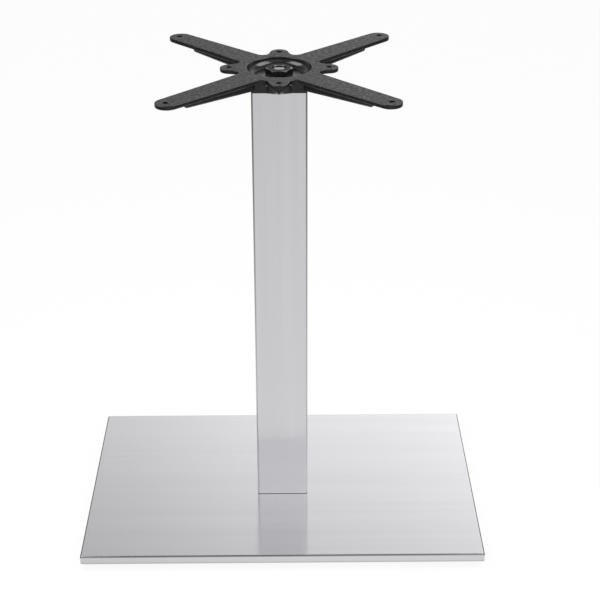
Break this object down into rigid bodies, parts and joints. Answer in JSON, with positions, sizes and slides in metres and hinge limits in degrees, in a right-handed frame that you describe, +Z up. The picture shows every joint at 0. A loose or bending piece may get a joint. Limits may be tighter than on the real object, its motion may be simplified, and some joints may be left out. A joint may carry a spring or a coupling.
{
  "type": "pedestal table base",
  "caption": "Pedestal table base with a rectangular brushed steel plate, a square brushed steel column and a black cast spider that carries a table top.",
  "frame": {"origin": "on the floor under the axis of the column, at the centre of the base plate", "axes": "+Z up along the column, +X along the long side of the plate, +Y towards the back"},
  "size_m": [0.6, 0.4, 0.71],
  "materials": {
    "brushed_cover": "stainless sheet brushed along the long side",
    "brushed_column": "stainless tube brushed lengthwise",
    "ballast_paint": "black primed steel plate",
    "bare_steel": "plain machined steel",
    "rod_steel": "bright threaded rod",
    "black_casting": "black powder coat over sand-cast iron",
    "black_fixing": "glossy black oxide on steel",
    "zinc_fixing": "bright zinc plating",
    "foot_plastic": "moulded black plastic"
  },
  "bodies": {
    "frame": {"base_cover": "brushed_cover", "ballast_plate": "ballast_paint", "column_seat": "bare_steel", "seat_screw_front_left": "zinc_fixing", "seat_screw_front_right": "zinc_fixing", "seat_screw_back_left": "zinc_fixing", "seat_screw_back_right": "zinc_fixing", "column_tube": "brushed_column", "tie_rod": "rod_steel", "spider": "black_casting", "clamp_washer": "black_fixing", "clamp_nut": "black_fixing"},
    "foot_front_left": {"foot_stud_front_left": "zinc_fixing", "foot_pad_front_left": "foot_plastic"},
    "foot_front_right": {"foot_stud_front_right": "zinc_fixing", "foot_pad_front_right": "foot_plastic"},
    "foot_back_left": {"foot_stud_back_left": "zinc_fixing", "foot_pad_back_left": "foot_plastic"},
    "foot_back_right": {"foot_stud_back_right": "zinc_fixing", "foot_pad_back_right": "foot_plastic"}
  },
  "joints": [
    {"name": "foot_front_left_level", "type": "slide", "parent": "frame", "child": "foot_front_left", "axis": [0, 0, 1], "range_m": [-0.005, 0]},
    {"name": "foot_front_right_level", "type": "slide", "parent": "frame", "child": "foot_front_right", "axis": [0, 0, 1], "range_m": [-0.005, 0]},
    {"name": "foot_back_left_level", "type": "slide", "parent": "frame", "child": "foot_back_left", "axis": [0, 0, 1], "range_m": [-0.005, 0]},
    {"name": "foot_back_right_level", "type": "slide", "parent": "frame", "child": "foot_back_right", "axis": [0, 0, 1], "range_m": [-0.005, 0]}
  ]
}
